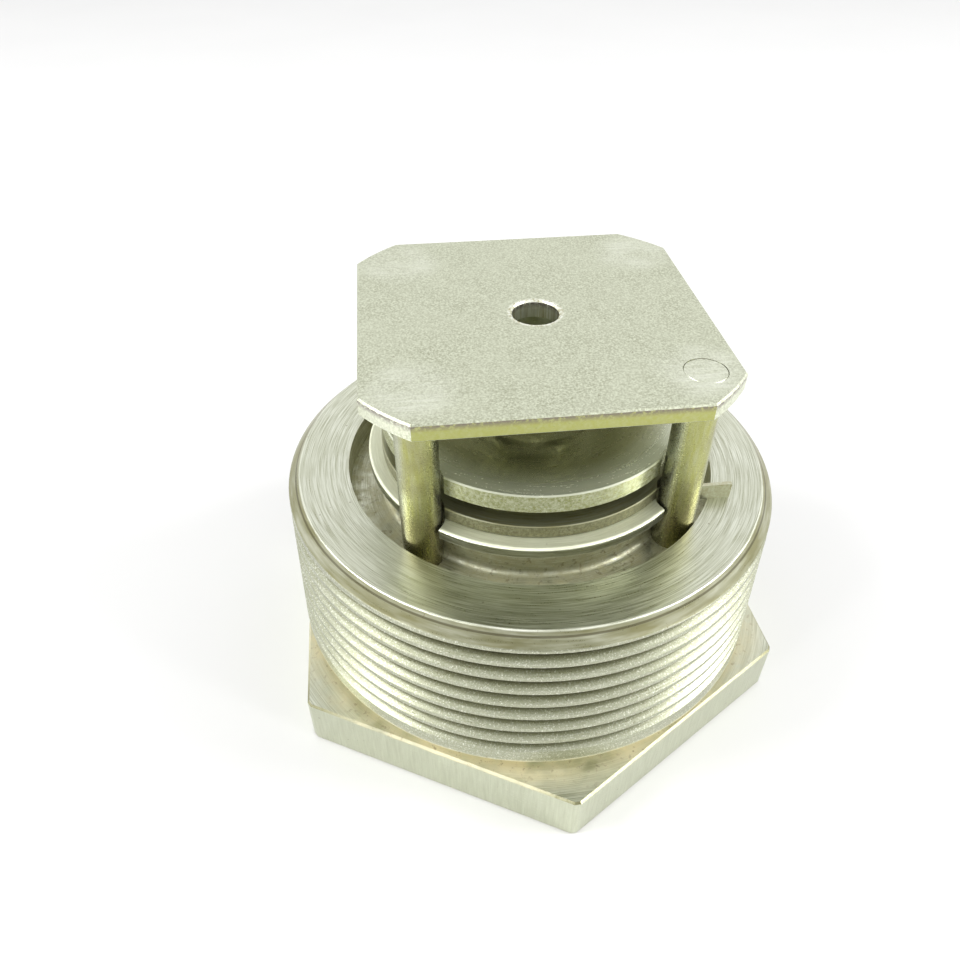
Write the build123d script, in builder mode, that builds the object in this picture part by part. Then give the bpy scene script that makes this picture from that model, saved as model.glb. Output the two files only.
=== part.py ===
"""Screw-in disc check valve: a hexagon body with a 2 inch taper thread, four posts, a stop plate
and a spring-loaded disc that lifts off a raised seat. Millimetres, +Z up, origin at the centre
of the hexagon's flat underside. The stop plate's sides lie along X and Y."""
import os
from math import atan, degrees

from build123d import *

os.makedirs("parts", exist_ok=True)

# ---- driving dimensions: body -------------------------------------------------------------
body_height = 30.0
hex_across_flats = 60.3
hex_height = 7.1
hex_clocking = 1.5                    # the hexagon sits this many degrees off the stop plate
hex_turned_radius = 34.6              # corners lightly skimmed on the lathe
hex_edge_break = 0.25

thread_pitch = 25.4 / 11.5            # 2 inch taper pipe thread
thread_pitch_diameter = 57.633        # at the small end
thread_height = 0.8 * thread_pitch
thread_taper = 1 / 16                 # on diameter
thread_crest_flat = 0.45
thread_root_flat = 0.5
thread_cut_share = 0.88               # worn crests leave this much of the full depth
thread_start_height = 10.33           # middle of the groove where it starts and where it ends
thread_end_height = 28.4
neck_height = 1.6                     # plain band between hexagon and thread

bore_radius = 15.5
bore_mouth_chamfer = 1.2
trough_radius = 22.3                  # counterbore round the seat
trough_floor = 26.7
seat_height = 32.55
seat_head_radius = 19.65
seat_head_thickness = 1.3
seat_neck_radius = 17.6
seat_undercut_height = 0.9
seat_rounding = 0.3
face_rounding = 0.35
seat_root_fillet = 1.1

# ---- driving dimensions: posts, plate and spring guide --------------------------------------
post_radius = 2.25
post_x = 14.4
post_y = 13.4
post_shift = 0.3                      # the four posts stand this far off centre along X
post_socket_depth = 6.0
post_end_chamfer = 0.12
post_scallop_gap = 0.35               # room milled round each post through seat head and discs

plate_side = 38.1
plate_shift = -0.35                   # the plate sits this far off centre along X
plate_corner_radius = 23.8            # corners turned to this radius about its centre
plate_thickness = 2.0
plate_top = 49.4
plate_hole_radius = 2.6
plate_edge_break = 0.18
plate_hole_break = 0.2

guide_radius = 5.0
guide_height = 4.1
guide_nose_chamfer = 0.6

# ---- driving dimensions: moving disc --------------------------------------------------------
disc_radius = 17.8
disc_thickness = 2.3
disc_underside = 36.0
disc_edge_break = 0.15
hub_radius = 13.6
hub_fillet = 0.7
spring_pocket_radius = 8.6
spring_pocket_depth = 1.6
seat_disc_radius = 18.0
seat_disc_thickness = 1.55
seat_disc_edge_break = 0.1
seat_contact_gap = 0.05
spigot_radius = 8.0
stud_radius = 5.0
stud_stick_out = 1.0

washer_radius = 12.5
washer_thickness = 1.5
nut_across_flats = 16.0
nut_height = 5.0
nut_chamfer = 0.6

spring_wire_radius = 0.5
spring_mean_radius = 6.6
spring_turns = 4.25
spring_end_gap = 0.02

# ---- driving dimensions: thin key beside the front right post --------------------------------
key_width = 0.5
key_height = 2.0
key_front = -11.2
key_inner_end = 16.2
key_outer_end = 21.9

# ---- worked out from those ------------------------------------------------------------------
plate_underside = plate_top - plate_thickness
disc_top = disc_underside + disc_thickness
pocket_floor = disc_top - spring_pocket_depth
seat_disc_underside = seat_height + seat_contact_gap
seat_disc_top = seat_disc_underside + seat_disc_thickness
washer_underside = seat_disc_underside - washer_thickness
nut_underside = washer_underside - nut_height
stud_end = nut_underside - stud_stick_out
head_underside = seat_height - seat_head_thickness
post_foot = trough_floor - post_socket_depth
post_places = {
    "front_left": (post_shift - post_x, -post_y),
    "front_right": (post_shift + post_x, -post_y),
    "back_right": (post_shift + post_x, post_y),
    "back_left": (post_shift - post_x, post_y),
}


def crest_radius(height):
    """Outside radius of the taper thread at a height above the hexagon's underside."""
    small_end = (thread_pitch_diameter + thread_height) / 2
    return small_end + (body_height - height) * thread_taper / 2


def save(piece, name):
    """Label a finished piece and write it as parts/<name>.step."""
    piece.label = name
    export_step(piece, f"parts/{name}.step")


# ---- body: hexagon, threaded barrel and raised seat in one piece ----------------------------
neck_top = hex_height + neck_height
neck_radius = crest_radius(neck_top) - 0.75 * thread_height
neck_ramp = 0.5
face_radius = crest_radius(body_height) - 0.8 * thread_height
bevel_start = body_height - (crest_radius(body_height) - face_radius)
groove_root_radius = crest_radius(thread_start_height) - thread_cut_share * thread_height
groove_mouth_radius = crest_radius(thread_start_height) + 0.1
groove_mouth = thread_pitch - thread_crest_flat

with BuildPart() as hexagon:
    with BuildSketch():
        RegularPolygon(hex_across_flats / 2, 6, major_radius=False, rotation=30 + hex_clocking)
        Circle(hex_turned_radius, mode=Mode.INTERSECT)
        Circle(bore_radius, mode=Mode.SUBTRACT)
    extrude(amount=hex_height)
    for rim in (faces().sort_by(Axis.Z)[0], faces().sort_by(Axis.Z)[-1]):
        chamfer(rim.outer_wire().edges(), hex_edge_break)
    mouth = faces().sort_by(Axis.Z)[0].inner_wires()[0]
    chamfer(mouth.edges(), bore_mouth_chamfer)

with BuildPart() as barrel:
    with BuildSketch(Plane.XZ) as barrel_section:
        with BuildLine():
            Polyline(
                (bore_radius, hex_height / 2),
                (neck_radius, hex_height / 2),
                (neck_radius, neck_top),
                (crest_radius(neck_top), neck_top + neck_ramp),
                (crest_radius(bevel_start), bevel_start),
                (face_radius, body_height),
                (trough_radius, body_height),
                (trough_radius, trough_floor),
                (seat_neck_radius, trough_floor),
                (seat_neck_radius, head_underside - seat_undercut_height),
                (seat_head_radius, head_underside),
                (seat_head_radius, seat_height),
                (bore_radius, seat_height),
                close=True,
            )
        make_face()
        corners = barrel_section.vertices()
        seat_root = corners.sort_by_distance((seat_neck_radius, trough_floor))[0]
        fillet(seat_root, seat_root_fillet)
        seat_rim = barrel_section.vertices().sort_by_distance((seat_head_radius, seat_height))[0]
        fillet(seat_rim, seat_rounding)
        face_rim = barrel_section.vertices().sort_by_distance((face_radius, body_height))[0]
        fillet(face_rim, face_rounding)
    revolve(axis=Axis.Z)

with BuildPart() as thread_groove:
    with BuildLine():
        groove_path = Helix(
            pitch=thread_pitch,
            height=thread_end_height - thread_start_height,
            radius=crest_radius(thread_start_height),
            center=(0, 0, thread_start_height),
            cone_angle=-degrees(atan(thread_taper / 2)),
        )
    with BuildSketch(Plane.XZ):
        with BuildLine():
            Polyline(
                (groove_root_radius, thread_start_height - thread_root_flat / 2),
                (groove_root_radius, thread_start_height + thread_root_flat / 2),
                (groove_mouth_radius, thread_start_height + groove_mouth / 2),
                (groove_mouth_radius, thread_start_height - groove_mouth / 2),
                close=True,
            )
        make_face()
    sweep(path=groove_path, is_frenet=True)

with BuildSketch() as post_scallops:
    with Locations(*post_places.values()):
        Circle(post_radius + post_scallop_gap)

with BuildPart() as body:
    add(hexagon.part)
    add(barrel.part)
    add(thread_groove.part, mode=Mode.SUBTRACT)
    with BuildSketch(Plane.XY.offset(post_foot)):
        with Locations(*post_places.values()):
            Circle(post_radius)
    extrude(amount=seat_height, mode=Mode.SUBTRACT)
    with BuildSketch(Plane.XY.offset(body_height)):
        add(post_scallops.sketch)
    extrude(amount=seat_height, mode=Mode.SUBTRACT)
save(body.part, "body")

# ---- four posts: pressed into the trough floor, their top ends ground flush in the stop plate --
# The front right one keeps the chamfer on its top end; grinding took it off the other three.
for place, centre in post_places.items():
    with BuildPart() as post:
        with BuildSketch(Plane.XY.offset(post_foot)):
            with Locations(centre):
                Circle(post_radius)
        extrude(amount=plate_top - post_foot)
        chamfer(post.faces().sort_by(Axis.Z)[0].edges(), post_end_chamfer)
        if place == "front_right":
            chamfer(post.faces().sort_by(Axis.Z)[-1].edges(), post_end_chamfer)
    save(post.part, f"post_{place}")

# ---- stop plate and the spring guide under it ------------------------------------------------
with BuildPart() as stop_plate:
    with BuildSketch(Plane.XY.offset(plate_underside)):
        with Locations((plate_shift, 0)):
            Rectangle(plate_side, plate_side)
            Circle(plate_corner_radius, mode=Mode.INTERSECT)
        Circle(plate_hole_radius, mode=Mode.SUBTRACT)
        with Locations(*post_places.values()):
            Circle(post_radius, mode=Mode.SUBTRACT)
    extrude(amount=plate_thickness)
    for rim in (faces().sort_by(Axis.Z)[0], faces().sort_by(Axis.Z)[-1]):
        chamfer(rim.outer_wire().edges(), plate_edge_break)
    hole_rims = stop_plate.faces().sort_by(Axis.Z)[-1].inner_wires()
    chamfer(hole_rims.sort_by_distance((0, 0, plate_top))[0].edges(), plate_hole_break)
save(stop_plate.part, "stop_plate")

with BuildPart() as spring_guide:
    with BuildSketch(Plane.XY.offset(plate_underside)):
        Circle(guide_radius)
        Circle(plate_hole_radius, mode=Mode.SUBTRACT)
    extrude(amount=-guide_height)
    nose = spring_guide.faces().sort_by(Axis.Z)[0]
    chamfer(nose.outer_wire().edges(), guide_nose_chamfer)
save(spring_guide.part, "spring_guide")

# ---- spring between the disc's pocket and the stop plate -------------------------------------
spring_foot = pocket_floor + spring_wire_radius + spring_end_gap
spring_head = plate_underside - spring_wire_radius - spring_end_gap

with BuildPart() as spring:
    with BuildLine():
        spring_path = Helix(
            pitch=(spring_head - spring_foot) / spring_turns,
            height=spring_head - spring_foot,
            radius=spring_mean_radius,
            center=(0, 0, spring_foot),
        )
    with BuildSketch(Plane(origin=spring_path @ 0, z_dir=spring_path % 0)):
        Circle(spring_wire_radius)
    sweep(path=spring_path, is_frenet=True)
save(spring.part, "spring")

# ---- moving disc: upper disc with hub and stud, seat disc, washer and nut ---------------------
with BuildPart() as upper_disc:
    with BuildSketch(Plane.XZ) as disc_section:
        with BuildLine():
            Polyline(
                (0, stud_end),
                (stud_radius, stud_end),
                (stud_radius, seat_disc_underside + 2 * seat_contact_gap),
                (spigot_radius, seat_disc_underside + 2 * seat_contact_gap),
                (spigot_radius, seat_disc_top),
                (hub_radius, seat_disc_top),
                (hub_radius, disc_underside),
                (disc_radius, disc_underside),
                (disc_radius, disc_top),
                (spring_pocket_radius, disc_top),
                (spring_pocket_radius, pocket_floor),
                (0, pocket_floor),
                close=True,
            )
        make_face()
        groove_corner = disc_section.vertices().sort_by_distance((hub_radius, disc_underside))[0]
        fillet(groove_corner, hub_fillet)
        for rim_radius, rim_height, cut in (
            (disc_radius, disc_top, disc_edge_break),
            (disc_radius, disc_underside, disc_edge_break / 2),
            (spring_pocket_radius, disc_top, disc_edge_break / 2),
            (stud_radius, stud_end, disc_edge_break),
        ):
            chamfer(disc_section.vertices().sort_by_distance((rim_radius, rim_height))[0], cut)
    revolve(axis=Axis.Z)
    with BuildSketch(Plane.XY.offset(disc_underside)):
        add(post_scallops.sketch)
    extrude(amount=disc_thickness, mode=Mode.SUBTRACT)
save(upper_disc.part, "upper_disc")

with BuildPart() as seat_disc:
    with BuildSketch(Plane.XY.offset(seat_disc_underside)):
        Circle(seat_disc_radius)
        Circle(spigot_radius, mode=Mode.SUBTRACT)
    extrude(amount=seat_disc_thickness)
    for rim in (faces().sort_by(Axis.Z)[0], faces().sort_by(Axis.Z)[-1]):
        chamfer(rim.outer_wire().edges(), seat_disc_edge_break)
    with BuildSketch(Plane.XY.offset(seat_disc_underside)):
        add(post_scallops.sketch)
    extrude(amount=seat_disc_thickness, mode=Mode.SUBTRACT)
save(seat_disc.part, "seat_disc")

with BuildPart() as clamp_washer:
    with BuildSketch(Plane.XY.offset(washer_underside)):
        Circle(washer_radius)
        Circle(stud_radius, mode=Mode.SUBTRACT)
    extrude(amount=washer_thickness)
    chamfer(faces().sort_by(Axis.Z)[0].outer_wire().edges(), disc_edge_break)
save(clamp_washer.part, "clamp_washer")

with BuildPart() as nut_blank:
    with BuildSketch(Plane.XZ):
        with BuildLine():
            Polyline(
                (stud_radius, nut_underside),
                (nut_across_flats / 2 - 0.2, nut_underside),
                (nut_across_flats / 2 + 2, nut_underside + 2 * nut_chamfer),
                (nut_across_flats / 2 + 2, washer_underside),
                (stud_radius, washer_underside),
                close=True,
            )
        make_face()
    revolve(axis=Axis.Z)

with BuildPart() as clamp_nut:
    with BuildSketch(Plane.XY.offset(nut_underside)):
        RegularPolygon(nut_across_flats / 2, 6, major_radius=False)
    extrude(amount=nut_height)
    add(nut_blank.part, mode=Mode.INTERSECT)
save(clamp_nut.part, "clamp_nut")

# ---- key lying across the trough, fitted under and against the seat head ----------------------
with BuildPart() as seat_key:
    with BuildSketch(Plane.XY.offset(body_height)):
        with Locations((key_inner_end, key_front)):
            Rectangle(key_outer_end - key_inner_end, key_width, align=(Align.MIN, Align.MIN))
    extrude(amount=key_height)
    add(body.part, mode=Mode.SUBTRACT)
save(seat_key.part, "seat_key")
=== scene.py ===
"""Looks for the screw-in disc check valve: worn stainless steel on a white table, in soft light."""
from math import cos, pi, sin

import bpy
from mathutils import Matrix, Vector


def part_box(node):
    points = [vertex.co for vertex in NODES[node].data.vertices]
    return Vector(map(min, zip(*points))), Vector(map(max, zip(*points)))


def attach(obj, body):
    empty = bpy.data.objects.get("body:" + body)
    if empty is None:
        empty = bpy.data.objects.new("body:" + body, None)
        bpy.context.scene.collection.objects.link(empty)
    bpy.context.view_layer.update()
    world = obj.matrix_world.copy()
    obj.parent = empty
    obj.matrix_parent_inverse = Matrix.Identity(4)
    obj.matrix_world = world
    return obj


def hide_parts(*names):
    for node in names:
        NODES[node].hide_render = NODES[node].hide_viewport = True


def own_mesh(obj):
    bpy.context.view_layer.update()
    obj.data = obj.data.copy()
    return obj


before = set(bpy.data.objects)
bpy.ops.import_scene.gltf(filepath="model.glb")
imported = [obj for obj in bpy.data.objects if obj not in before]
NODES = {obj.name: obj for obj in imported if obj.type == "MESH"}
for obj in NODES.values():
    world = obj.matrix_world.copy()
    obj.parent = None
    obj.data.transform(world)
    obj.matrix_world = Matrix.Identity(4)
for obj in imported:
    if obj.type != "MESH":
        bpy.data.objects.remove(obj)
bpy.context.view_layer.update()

MM = 0.001

# ---- the few places that finishes and lights need, read from the frame ----------------------
body_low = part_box("body")[0]
plate_low, plate_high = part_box("stop_plate")
spring_low, spring_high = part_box("spring")
PLATE_TOP = plate_high.z / MM
POST_X = (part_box("post_front_right")[0].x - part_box("post_front_left")[0].x) / 2 / MM
POST_Y = (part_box("post_back_left")[0].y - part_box("post_front_left")[0].y) / 2 / MM

# ---- zones that have their own finish: heights and radii in millimetres ----------------------
FACE_HEIGHT = 30.0
HEX_TOP = 7.2
HEX_TOP_ZONE = (6.8, 9.2)             # also takes in the neck's foot
THREAD_ZONE = (8.6, 28.6)
BEVEL_ZONE = (28.7, 29.85)
UNDER_LIP_SHADE_ZONE = (29.5, 29.62)
BEVEL_INNER_RADIUS = 28.4
THREAD_INNER_RADIUS = 27.5
TROUGH_ZONE = (24.0, 31.2)
TROUGH_RADII = (16.4, 22.25)
LEDGE_RADII = (17.0, 20.0)
LEDGE_HEIGHT = 32.4
POST_DARKENING_TOP = 38.0
DISC_HAZE_RADII = (13.0, 17.0)
DISC_MIDDLE_SHADE_RADII = (16.5, 13.5)      # outside in, as the two below
GROUND_PATCH_RADII = (5.5, 3.0)       # from a post's own axis
HOLE_WALL_RADII = (3.2, 3.0)
THREAD_PITCH = 25.4 / 11.5            # 2 inch taper pipe thread
THREAD_PITCH_DIAMETER = 57.633        # at the small end, which is at the annular face
TAPER = 1 / 32                        # radius lost per millimetre of height
CREST_AT_ZERO = (THREAD_PITCH_DIAMETER + 0.8 * THREAD_PITCH) / 2 + FACE_HEIGHT * TAPER


# ---- a short way to wire procedural materials ------------------------------------------------
class Finish:
    """A Principled material whose nodes are added by small named steps, all in millimetres."""

    def __init__(self, name, metallic=1.0):
        self.material = bpy.data.materials.new(name)
        self.material.use_nodes = True
        self.tree = self.material.node_tree
        self.shader = self.tree.nodes["Principled BSDF"]
        self.shader.inputs["Metallic"].default_value = metallic
        place = self.add("ShaderNodeTexCoord").outputs["Object"]
        self.place = self.vector("SCALE", place, scale=1 / MM)
        split = self.add("ShaderNodeSeparateXYZ")
        self.link(self.place, split.inputs[0])
        self.x, self.y, self.z = split.outputs

    def add(self, kind):
        return self.tree.nodes.new(kind)

    def link(self, source, target):
        if hasattr(source, "is_output"):
            self.tree.links.new(source, target)
        else:
            target.default_value = source

    def vector(self, operation, a, b=None, scale=None):
        node = self.add("ShaderNodeVectorMath")
        node.operation = operation
        self.link(a, node.inputs[0])
        if b is not None:
            self.link(b, node.inputs[1])
        if scale is not None:
            self.link(scale, node.inputs["Scale"])
        return node.outputs["Value" if operation in ("LENGTH", "DOT_PRODUCT") else "Vector"]

    def math(self, operation, a, b=0.0, c=0.0):
        node = self.add("ShaderNodeMath")
        node.operation = operation
        for value, socket in zip((a, b, c), node.inputs):
            self.link(value, socket)
        return node.outputs[0]

    def join(self, x, y, z):
        node = self.add("ShaderNodeCombineXYZ")
        for value, socket in zip((x, y, z), node.inputs):
            self.link(value, socket)
        return node.outputs[0]

    def noise(self, place, scale, detail=2.0, roughness=0.5):
        node = self.add("ShaderNodeTexNoise")
        self.link(place, node.inputs["Vector"])
        node.inputs["Scale"].default_value = scale
        node.inputs["Detail"].default_value = detail
        node.inputs["Roughness"].default_value = roughness
        return node.outputs["Fac"]

    def ramp(self, value, start, end, low=0.0, high=1.0):
        """Value mapped from start..end to low..high and held at the ends."""
        node = self.add("ShaderNodeMapRange")
        self.link(value, node.inputs["Value"])
        for name, number in (("From Min", start), ("From Max", end), ("To Min", low), ("To Max", high)):
            self.link(number, node.inputs[name])
        return node.outputs["Result"]

    def band(self, value, low, high, soft):
        """1 between low and high, falling to 0 within soft outside them."""
        rise = self.ramp(value, low - soft, low)
        fall = self.ramp(value, high, high + soft, 1.0, 0.0)
        return self.math("MULTIPLY", rise, fall)

    def mix(self, share, a, b):
        node = self.add("ShaderNodeMix")
        node.data_type = "RGBA"
        self.link(share, node.inputs[0])
        for colour, socket in ((a, node.inputs[6]), (b, node.inputs[7])):
            self.link(colour if hasattr(colour, "is_output") else (*colour, 1.0), socket)
        return node.outputs[2]

    def blend(self, share, a, b):
        """Plain number between a and b."""
        node = self.add("ShaderNodeMix")
        for value, socket in ((share, node.inputs[0]), (a, node.inputs[2]), (b, node.inputs[3])):
            self.link(value, socket)
        return node.outputs[0]

    def up_facing(self):
        """1 on faces that look straight up, 0 on upright ones."""
        node = self.add("ShaderNodeNewGeometry")
        return self.math("ABSOLUTE", self.vector("DOT_PRODUCT", node.outputs["True Normal"], (0, 0, 1)))

    def facing(self, direction, start, end):
        """0 to 1 as a face turns toward a direction of the object's own frame."""
        node = self.add("ShaderNodeNewGeometry")
        return self.ramp(self.vector("DOT_PRODUCT", node.outputs["True Normal"], direction), start, end)

    def radius(self):
        return self.vector("LENGTH", self.join(self.x, self.y, 0.0))

    def turned(self, fine, around):
        """Noise in rings round the axis: fine grains per millimetre across, a few around, no seam."""
        flat = self.join(self.x, self.y, 0.0)
        along = self.vector("SCALE", self.vector("NORMALIZE", flat), scale=around)
        node = self.add("ShaderNodeTexNoise")
        node.noise_dimensions = "4D"
        across = self.math("MULTIPLY", self.math("ADD", self.radius(), self.z), fine)
        self.link(self.vector("ADD", along, self.join(0.0, 0.0, across)), node.inputs["Vector"])
        self.link(self.math("MULTIPLY", self.z, fine * 0.37), node.inputs["W"])
        node.inputs["Scale"].default_value = 1.0
        node.inputs["Detail"].default_value = 3.0
        node.inputs["Roughness"].default_value = 0.6
        return node.outputs["Fac"]

    def stretched(self, sx, sy, sz):
        """Noise with its own grain size along each axis, in grains per millimetre."""
        return self.noise(self.vector("MULTIPLY", self.place, (sx, sy, sz)), 1.0, 3.0, 0.6)

    def brushed_round(self, amount):
        """Stretches highlights across the turning marks that run round the axis."""
        tangent = self.add("ShaderNodeTangent")
        tangent.direction_type = "RADIAL"
        tangent.axis = "Z"
        self.link(tangent.outputs[0], self.shader.inputs["Tangent"])
        self.link(amount, self.shader.inputs["Anisotropic"])

    def pits(self, spacing, size, share):
        """Small dark dents: 1 in the middle of a dent, and a share of the places left without."""
        node = self.add("ShaderNodeTexVoronoi")
        self.link(self.place, node.inputs["Vector"])
        node.inputs["Scale"].default_value = 1 / spacing
        near = self.ramp(node.outputs["Distance"], 0.0, size / spacing, 1.0, 0.0)
        chosen = self.ramp(node.outputs["Color"], share, share + 0.02)
        return self.math("MULTIPLY", near, chosen)

    def finish(self, colour, roughness, height, strength, depth):
        """Wires the colour, roughness and bump in and returns the material."""
        self.link(colour, self.shader.inputs["Base Color"])
        self.link(roughness, self.shader.inputs["Roughness"])
        bump = self.add("ShaderNodeBump")
        bump.inputs["Strength"].default_value = strength
        bump.inputs["Distance"].default_value = depth * MM
        self.link(height, bump.inputs["Height"])
        self.link(bump.outputs[0], self.shader.inputs["Normal"])
        return self.material


# ---- colours of the metal, dull to bright, and of painted shade --------------------------------
PALE = (0.62, 0.645, 0.51)
STEEL = (0.53, 0.55, 0.42)
DULL = (0.37, 0.38, 0.27)
OLIVE = (0.38, 0.39, 0.13)
# a stain colour, also used as painted shade on the hexagon's top edges and the discs' middles
STAIN_AND_SHADE = (0.26, 0.25, 0.125)
BROWN = (0.15, 0.11, 0.055)
# ROOT_SHADE is painted shade: the thread roots and the line under the rim's lip
ROOT_SHADE = (0.10, 0.09, 0.05)
BURR = (0.20, 0.17, 0.16)
DIRT = (0.68, 0.62, 0.41)
GRIME = (0.44, 0.42, 0.25)
DARK = (0.06, 0.05, 0.035)
BRIGHT = (0.80, 0.82, 0.72)
LIGHT_GRAIN = (0.68, 0.71, 0.57)
HAZE = (0.72, 0.74, 0.56)
TAN = (0.44, 0.41, 0.25)
DISC_STAIN = (0.22, 0.23, 0.09)
SEAT_DISC_STAIN = (0.14, 0.135, 0.08)


def barrel_colour(f, colour, coarse_rings, grain, sparkle, on_thread):
    """Bright worn crests, painted shade in the roots and under the rim's lip, and a stained bevel above the
    thread.
    """
    radius = f.radius()
    crest = f.math("SUBTRACT", CREST_AT_ZERO, f.math("MULTIPLY", f.z, TAPER))
    depth = f.math("SUBTRACT", crest, radius)
    # painted shade: the thread roots darkened where the crest above hides them from the light
    root = f.math("MULTIPLY", f.ramp(depth, 0.3, 1.1), on_thread)
    top = f.math("MULTIPLY", f.ramp(depth, 1.0, 0.3), on_thread)
    dulled = f.ramp(sparkle, 0.6, 0.4, 0.5, 0.95)
    colour = f.mix(f.math("MULTIPLY", on_thread, dulled), colour, DULL)
    colour = f.mix(f.math("MULTIPLY", root, f.ramp(grain, 0.3, 0.7, 0.8, 1.0)), colour, ROOT_SHADE)
    colour = f.mix(f.math("MULTIPLY", top, f.ramp(sparkle, 0.58, 0.66)), colour, BRIGHT)
    at_rim = f.ramp(radius, BEVEL_INNER_RADIUS - 0.4, BEVEL_INNER_RADIUS)
    bevel = f.math("MULTIPLY", f.band(f.z, *BEVEL_ZONE, 0.1), at_rim)
    worn_rings = f.ramp(coarse_rings, 0.42, 0.6, 0.55, 0.95)
    colour = f.mix(f.math("MULTIPLY", bevel, worn_rings), colour, STAIN_AND_SHADE)
    # painted shade: a dark line just under the rounded lip of the annular face
    under_lip_shade = f.math("MULTIPLY", f.band(f.z, *UNDER_LIP_SHADE_ZONE, 0.05), at_rim)
    return f.mix(f.math("MULTIPLY", under_lip_shade, 0.7), colour, ROOT_SHADE)


def hexagon_colour(f, colour):
    """Brushed flats, with painted shade on the top edges that dims their highlight."""
    brushed = f.stretched(4.0, 4.0, 0.25)
    hex_side = f.math("MULTIPLY", f.ramp(f.z, HEX_TOP, HEX_TOP - 0.3), f.ramp(f.up_facing(), 0.7, 0.3))
    colour = f.mix(hex_side, colour, f.mix(f.ramp(brushed, 0.3, 0.7), STEEL, PALE))
    # painted shade: the hexagon's top edges darkened so that their highlight is dimmed
    hex_edge_shade = f.math("MULTIPLY", f.band(f.up_facing(), 0.6, 0.8, 0.1), f.ramp(f.z, HEX_TOP + 0.1, HEX_TOP))
    return f.mix(f.math("MULTIPLY", hex_edge_shade, 0.8), colour, STAIN_AND_SHADE)


def dirty_colour(f, colour):
    """Dirt on the hexagon's top and in the trough, haze on the seat ledge; also gives their share."""
    radius = f.radius()
    on_hex_top = f.math("MULTIPLY", f.band(f.z, *HEX_TOP_ZONE, 0.3), f.ramp(radius, 34.0, 29.6))
    patchy = f.ramp(f.noise(f.place, 0.35, 5.0, 0.65), 0.32, 0.62, 0.1, 0.9)
    hex_dirt = f.math("MULTIPLY", on_hex_top, patchy)
    in_trough = f.math("MULTIPLY", f.band(radius, *TROUGH_RADII, 0.1), f.band(f.z, *TROUGH_ZONE, 0.15))
    blotches = f.ramp(f.noise(f.place, 0.55, 6.0, 0.75), 0.36, 0.62, 0.1, 0.85)
    trough_dirt = f.math("MULTIPLY", in_trough, blotches)
    above_ledge = f.ramp(f.z, LEDGE_HEIGHT - 0.2, LEDGE_HEIGHT)
    on_ledge = f.math("MULTIPLY", f.band(radius, *LEDGE_RADII, 0.1), above_ledge)
    ledge_haze = f.math("MULTIPLY", on_ledge, 0.6)
    colour = f.mix(f.math("MULTIPLY", on_hex_top, 0.7), colour, STEEL)
    colour = f.mix(hex_dirt, colour, DIRT)
    colour = f.mix(trough_dirt, colour, GRIME)
    colour = f.mix(ledge_haze, colour, HAZE)
    specks = f.ramp(f.noise(f.place, 1.4, 5.0, 0.7), 0.57, 0.65)
    speckled = f.math("MULTIPLY", f.math("MAXIMUM", on_hex_top, in_trough), specks)
    colour = f.mix(f.math("MULTIPLY", speckled, 0.5), colour, BROWN)
    dirt = f.math("MAXIMUM", f.math("MAXIMUM", hex_dirt, trough_dirt), ledge_haze)
    return colour, dirt


def body_finish():
    """Turned barrel and face, brushed hexagon, dirt in the corners and painted shade in the thread roots.
    """
    f = Finish("body worn steel")
    rings = f.turned(9.0, 5.6)
    coarse_rings = f.turned(2.4, 3.2)
    cloud = f.noise(f.place, 0.16, 4.0)
    grain = f.noise(f.place, 5.0, 3.0)
    sparkle = f.noise(f.place, 5.5, 3.0, 0.7)
    past_root = f.ramp(f.radius(), THREAD_INNER_RADIUS - 1.0, THREAD_INNER_RADIUS)
    on_thread = f.math("MULTIPLY", f.band(f.z, *THREAD_ZONE, 0.2), past_root)
    f.brushed_round(f.ramp(on_thread, 0.0, 1.0, 0.6, 0.0))

    colour = f.mix(f.ramp(rings, 0.36, 0.62), DULL, BRIGHT)
    colour = f.mix(f.ramp(cloud, 0.35, 0.7, 0.1, 0.55), colour, STEEL)
    colour = barrel_colour(f, colour, coarse_rings, grain, sparkle, on_thread)
    colour = hexagon_colour(f, colour)
    colour, dirt = dirty_colour(f, colour)
    pits = f.pits(1.7, 0.16, 0.62)
    scratches = f.ramp(f.turned(3.4, 64.0), 0.69, 0.73)
    marks = f.math("MAXIMUM", f.math("MULTIPLY", pits, 0.8), f.math("MULTIPLY", scratches, 0.45))
    colour = f.mix(marks, colour, BROWN)
    f.link(f.ramp(dirt, 0.0, 1.0, 1.0, 0.25), f.shader.inputs["Metallic"])

    uneven = f.math("ADD", f.math("MULTIPLY", rings, 0.6), f.math("MULTIPLY", grain, 0.4))
    roughness = f.math("ADD", f.ramp(uneven, 0.3, 0.7, 0.24, 0.42), f.math("MULTIPLY", dirt, 0.3))
    height = f.math("ADD", f.math("MULTIPLY", rings, 0.8), f.math("MULTIPLY", coarse_rings, 0.6))
    height = f.math("MULTIPLY", height, f.ramp(on_thread, 0.0, 1.0, 1.0, 0.3))
    height = f.math("ADD", height, f.math("MULTIPLY", f.math("MULTIPLY", sparkle, on_thread), 0.3))
    height = f.math("SUBTRACT", height, marks)
    return f.finish(colour, roughness, height, 0.5, 0.04)


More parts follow.
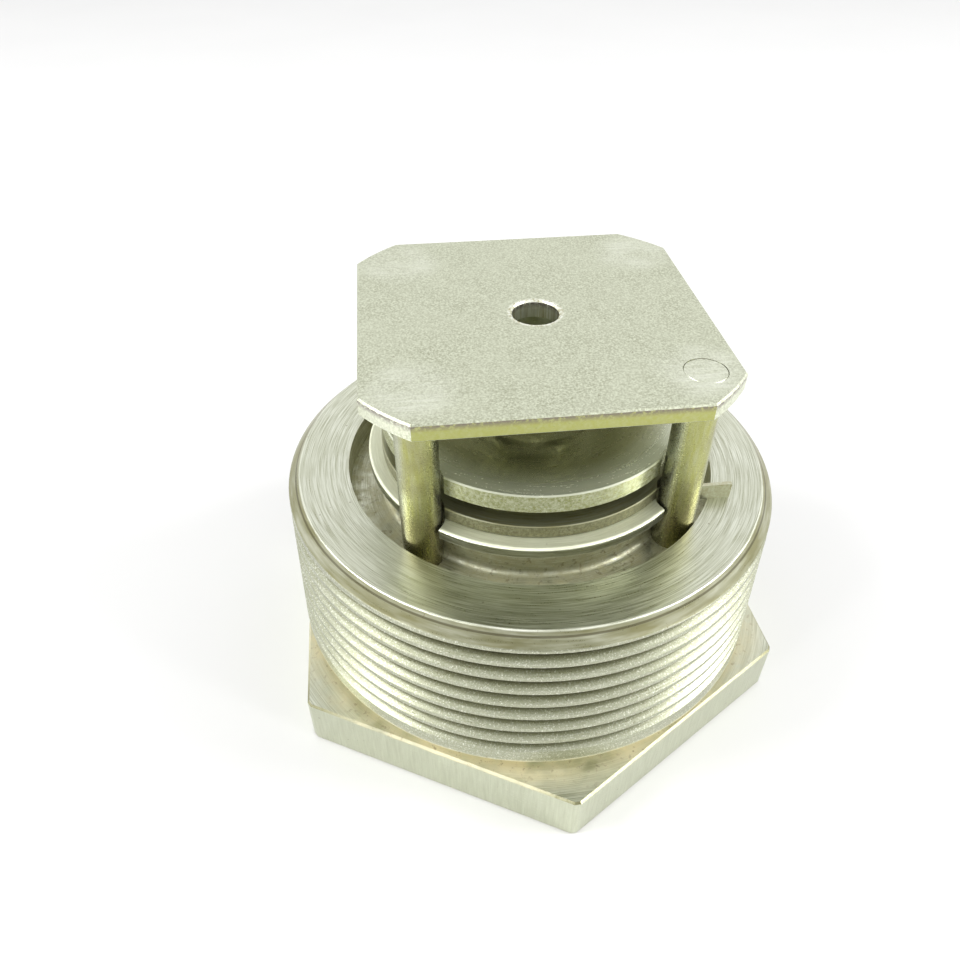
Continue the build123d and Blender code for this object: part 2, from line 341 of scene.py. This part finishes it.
def plate_look(f):
    """Matt blasted steel with small dark pits, light clouds and ground patches round the posts."""
    grain = f.noise(f.place, 4.5, 3.0, 0.7)
    cloud = f.noise(f.place, 0.22, 4.0, 0.6)
    steel = f.mix(f.ramp(grain, 0.36, 0.64), DULL, LIGHT_GRAIN)
    steel = f.mix(f.ramp(cloud, 0.35, 0.65, 0.0, 0.35), steel, PALE)
    pits = f.pits(1.0, 0.13, 0.55)
    steel = f.mix(f.math("MULTIPLY", f.pits(0.45, 0.08, 0.4), 0.5), steel, DULL)
    steel = f.mix(f.math("MULTIPLY", pits, 0.75), steel, BROWN)
    past_post_x = f.math("SUBTRACT", f.math("ABSOLUTE", f.x), POST_X)
    past_post_y = f.math("SUBTRACT", f.math("ABSOLUTE", f.y), POST_Y)
    from_post = f.vector("LENGTH", f.join(past_post_x, past_post_y, 0.0))
    ground = f.math("MULTIPLY", f.ramp(from_post, *GROUND_PATCH_RADII), f.ramp(cloud, 0.4, 0.6, 0.5, 1.0))
    scratches = f.noise(f.vector("MULTIPLY", f.place, (0.35, 5.5, 1.0)), 1.0, 3.0)
    steel = f.mix(f.math("MULTIPLY", ground, f.ramp(scratches, 0.4, 0.65, 0.2, 0.55)), steel, BRIGHT)
    side = f.ramp(f.up_facing(), 0.3, 0.1)
    specks = f.noise(f.place, 2.4, 5.0, 0.75)
    top_rim = f.ramp(f.z, PLATE_TOP - 0.9, PLATE_TOP - 0.3)
    front = f.math("MULTIPLY", f.facing((0, -1, 0), 0.8, 0.95), f.ramp(specks, 0.3, 0.6, 0.75, 1.0))
    colour = f.mix(front, steel, OLIVE)
    streaks = f.stretched(2.5, 2.5, 0.1)
    in_hole = f.ramp(f.radius(), *HOLE_WALL_RADII)
    colour = f.mix(in_hole, colour, f.mix(f.ramp(streaks, 0.35, 0.55), GRIME, BRIGHT))
    burr = f.math("MULTIPLY", f.math("MULTIPLY", side, top_rim), f.ramp(specks, 0.38, 0.5))
    colour = f.mix(f.math("MULTIPLY", burr, 0.85), colour, BURR)
    roughness = f.ramp(grain, 0.3, 0.7, 0.36, 0.54)
    height = f.math("ADD", grain, f.math("MULTIPLY", f.math("MULTIPLY", scratches, ground), 1.2))
    height = f.math("SUBTRACT", height, f.math("MULTIPLY", pits, 1.6))
    return colour, roughness, height


def plate_finish():
    """The stop plate's own finish."""
    f = Finish("plate blasted steel")
    return f.finish(*plate_look(f), 0.6, 0.04)


def post_finish():
    """Round bar, olive stained and pitted; its end is ground with the plate."""
    f = Finish("post stained steel")
    streaks = f.stretched(2.2, 2.2, 0.3)
    grain = f.noise(f.place, 4.5, 4.0, 0.75)
    cloud = f.noise(f.place, 0.28, 3.0)
    olive = f.mix(f.ramp(streaks, 0.35, 0.7, 0.0, 0.4), OLIVE, STEEL)
    colour = f.mix(f.facing((0, -1, 0), 0.55, 0.85), STEEL, olive)
    colour = f.mix(f.ramp(cloud, 0.4, 0.65, 0.1, 0.6), colour, STAIN_AND_SHADE)
    # brown streaks that darken the post toward its foot
    low_down = f.ramp(f.z, POST_DARKENING_TOP, FACE_HEIGHT)
    low_darkening = f.math("MULTIPLY", low_down, f.ramp(streaks, 0.35, 0.6, 0.3, 0.9))
    colour = f.mix(f.math("MULTIPLY", low_darkening, 0.6), colour, BROWN)
    colour = f.mix(f.ramp(grain, 0.6, 0.68, 0.0, 0.6), colour, BROWN)
    dents = f.pits(2.3, 0.28, 0.6)
    colour = f.mix(f.math("MULTIPLY", dents, 0.9), colour, DARK)
    roughness = f.ramp(grain, 0.3, 0.7, 0.2, 0.38)
    height = f.math("ADD", f.math("MULTIPLY", streaks, 0.5), grain)
    height = f.math("SUBTRACT", height, f.math("MULTIPLY", dents, 2.0))
    plate_colour, plate_roughness, plate_height = plate_look(f)
    end = f.ramp(f.z, PLATE_TOP - 0.2, PLATE_TOP - 0.19)
    colour = f.mix(end, colour, plate_colour)
    roughness = f.blend(end, roughness, plate_roughness)
    return f.finish(colour, roughness, f.blend(end, height, plate_height), 0.5, 0.03)


def turned_finish(name, low, high, stain, rough, haze):
    """Smooth turned disc: fine rings, a stained rim, painted shade in the middle, and a dull haze toward
    the rim.
    """
    f = Finish(name)
    f.brushed_round(0.5)
    rings = f.turned(4.5, 4.8)
    rim = f.ramp(f.radius(), *DISC_HAZE_RADII)
    f.link(f.ramp(rim, 0.0, 1.0, 1.0, 1.0 - haze), f.shader.inputs["Metallic"])
    grain = f.noise(f.place, 3.0, 5.0, 0.7)
    colour = f.mix(f.ramp(rings, 0.3, 0.7), low, high)
    # painted shade and painted reflection: the middle darkened where the part above covers it and is
    # mirrored in it
    colour = f.mix(f.ramp(f.radius(), *DISC_MIDDLE_SHADE_RADII, 0.0, 0.8), colour, STAIN_AND_SHADE)
    side = f.ramp(f.up_facing(), 0.5, 0.3)
    colour = f.mix(f.math("MULTIPLY", side, f.ramp(grain, 0.4, 0.6, 0.4, 0.95)), colour, stain)
    uneven = f.math("MULTIPLY", f.math("ADD", rings, grain), 0.5)
    roughness = f.ramp(uneven, 0.3, 0.7, rough, rough + 0.16)
    height = f.math("ADD", rings, f.math("MULTIPLY", grain, 0.6))
    return f.finish(colour, roughness, height, 0.35, 0.025)


def fastener_finish():
    """Plain bright steel for the small hidden pieces."""
    f = Finish("fastener steel")
    grain = f.noise(f.place, 4.0, 4.0)
    cloud = f.noise(f.place, 0.5, 3.0)
    colour = f.mix(f.ramp(grain, 0.3, 0.7), STEEL, PALE)
    colour = f.mix(f.ramp(cloud, 0.45, 0.7, 0.0, 0.5), colour, OLIVE)
    return f.finish(colour, f.ramp(grain, 0.3, 0.7, 0.26, 0.42), grain, 0.4, 0.02)


def key_finish():
    """Thin strip with a tan stained front."""
    f = Finish("key tan steel")
    grain = f.noise(f.place, 3.0, 4.0, 0.7)
    colour = f.mix(f.ramp(grain, 0.3, 0.7), TAN, PALE)
    return f.finish(colour, f.ramp(grain, 0.3, 0.7, 0.3, 0.45), grain, 0.4, 0.02)


def spring_finish():
    """Cold-drawn wire."""
    f = Finish("spring wire steel")
    grain = f.noise(f.place, 3.5, 3.0)
    colour = f.mix(f.ramp(grain, 0.35, 0.65), DULL, PALE)
    return f.finish(colour, f.ramp(grain, 0.3, 0.7, 0.2, 0.35), grain, 0.3, 0.01)


DISC = turned_finish("disc polished steel", STEEL, PALE, DISC_STAIN, 0.16, 0.4)
SEAT_DISC = turned_finish("seat disc steel", STAIN_AND_SHADE, DULL, SEAT_DISC_STAIN, 0.26, 0.2)
FASTENER = fastener_finish()
POST = post_finish()
FINISHES = {
    "body": body_finish(),
    "stop_plate": plate_finish(),
    "upper_disc": DISC,
    "seat_disc": SEAT_DISC,
    "clamp_washer": FASTENER,
    "clamp_nut": FASTENER,
    "spring_guide": FASTENER,
    "seat_key": key_finish(),
}
for name in NODES:
    if name.startswith("post_"):
        FINISHES[name] = POST

for name, finish in FINISHES.items():
    NODES[name].data.materials.clear()
    NODES[name].data.materials.append(finish)


# ---- the spring: its own mesh -------------------------------------------------------------------
def coil(name, foot, head, mean_radius, wire_radius, turns, around=16, per_turn=56):
    """A round wire wound up the axis between two heights, its ends closed."""
    steps = int(turns * per_turn)
    vertices = []
    for step in range(steps + 1):
        share = step / steps
        angle = 2 * pi * turns * share
        out = Vector((cos(angle), sin(angle), 0))
        centre = out * mean_radius + Vector((0, 0, foot + (head - foot) * share))
        for spoke in range(around):
            tilt = 2 * pi * spoke / around
            vertices.append(centre + wire_radius * (out * cos(tilt) + Vector((0, 0, sin(tilt)))))
    faces = []
    for step in range(steps):
        for spoke in range(around):
            a = step * around + spoke
            b = step * around + (spoke + 1) % around
            faces.append((a, a + around, b + around, b))
    faces.append(tuple(range(around)))
    faces.append(tuple(steps * around + spoke for spoke in reversed(range(around))))
    mesh = bpy.data.meshes.new(name)
    mesh.from_pydata(vertices, [], faces)
    for face in mesh.polygons:
        face.use_smooth = len(face.vertices) == 4
    piece = bpy.data.objects.new(name, mesh)
    bpy.context.scene.collection.objects.link(piece)
    return piece


wire_radius = 0.5 * MM
spring_turns = 4.25
spring_piece = coil(
    "spring_coil",
    spring_low.z + wire_radius,
    spring_high.z - wire_radius,
    (spring_high.x - spring_low.x) / 2 - wire_radius,
    wire_radius,
    spring_turns,
)
spring_piece.data.materials.append(spring_finish())
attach(spring_piece, "valve_body")
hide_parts("spring")
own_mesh(spring_piece)


# ---- table, light and camera --------------------------------------------------------------------
TABLE_SIZE = 3.0
TABLE_DARKER = (0.70, 0.70, 0.70)
TABLE_LIGHTER = (0.73, 0.73, 0.73)
SKY_WHITE = (1.0, 1.0, 1.0, 1.0)
SKY_GREY = (0.54, 0.545, 0.51, 1.0)
SKY_GREY_MIDDLE = Vector((-0.06, -0.87, 0.49)).normalized()
SKY_STRENGTH = 1.1
SOFT_BOXES = {                        # place and size in metres, power in watts
    "high left soft box": ((-0.42, -0.03, 0.50), 0.20, 1.5),
    "high right soft box": ((0.46, -0.08, 0.42), 0.20, 1.5),
    "low left soft box": ((-0.50, -0.34, 0.06), 0.11, 2.7),
    "low right soft box": ((0.47, -0.35, 0.06), 0.11, 2.2),
}
LENS = 29.94
SENSOR_WIDTH = 36.0
CAMERA_PLACE = Vector((-15.0, -76.78, 92.52)) * MM
CAMERA_AIM = Vector((-6.0, 0.9, 25.0)) * MM


def turned_toward(place, aim):
    """Rotation of a lamp or camera that stands at a place and looks at another."""
    return (aim - place).to_track_quat("-Z", "Y").to_euler()


def table():
    """A white matt table top."""
    bpy.ops.mesh.primitive_grid_add(x_subdivisions=2, y_subdivisions=2, size=TABLE_SIZE,
                                    location=(0, 0, body_low.z))
    piece = bpy.context.object
    piece.name = "table"
    f = Finish("table white", metallic=0.0)
    speck = f.noise(f.place, 0.02, 3.0)
    colour = f.mix(speck, TABLE_DARKER, TABLE_LIGHTER)
    f.shader.inputs["Specular IOR Level"].default_value = 0.2
    piece.data.materials.append(f.finish(colour, f.ramp(speck, 0.0, 1.0, 0.55, 0.65), speck, 0.02, 0.01))


def area_light(name, place, aim, size, power):
    """A round soft box at a place, pointed at another."""
    lamp = bpy.data.lights.new(name, "AREA")
    lamp.shape = "DISK"
    lamp.size = size
    lamp.energy = power
    holder = bpy.data.objects.new(name, lamp)
    bpy.context.scene.collection.objects.link(holder)
    holder.location = place
    holder.rotation_euler = turned_toward(Vector(place), aim)


def sky():
    """White surroundings, darker low down on the camera's side so that metal fronts read grey."""
    world = bpy.data.worlds.new("studio")
    world.use_nodes = True
    tree = world.node_tree
    background = tree.nodes["Background"]
    direction = tree.nodes.new("ShaderNodeTexCoord")
    toward_front = tree.nodes.new("ShaderNodeVectorMath")
    toward_front.operation = "DOT_PRODUCT"
    toward_front.inputs[1].default_value = SKY_GREY_MIDDLE
    tree.links.new(direction.outputs["Generated"], toward_front.inputs[0])
    ramp = tree.nodes.new("ShaderNodeValToRGB")
    ramp.color_ramp.elements[0].position = 0.76
    ramp.color_ramp.elements[0].color = SKY_WHITE
    ramp.color_ramp.elements[1].position = 0.97
    ramp.color_ramp.elements[1].color = SKY_GREY
    tree.links.new(toward_front.outputs["Value"], ramp.inputs[0])
    tree.links.new(ramp.outputs[0], background.inputs["Color"])
    background.inputs["Strength"].default_value = SKY_STRENGTH
    bpy.context.scene.world = world


def camera():
    """A compact camera held close, above and in front of the valve."""
    data = bpy.data.cameras.new("camera")
    data.lens = LENS
    data.sensor_width = SENSOR_WIDTH
    data.clip_start = 0.005
    holder = bpy.data.objects.new("camera", data)
    bpy.context.scene.collection.objects.link(holder)
    holder.location = CAMERA_PLACE
    holder.rotation_euler = turned_toward(CAMERA_PLACE, CAMERA_AIM)
    bpy.context.scene.camera = holder


table()
sky()
barrel_top = Vector((0, 0, body_low.z + FACE_HEIGHT * MM))
for name, (place, size, power) in SOFT_BOXES.items():
    area_light(name, place, barrel_top, size, power)
camera()
bpy.context.scene.view_settings.view_transform = "Standard"
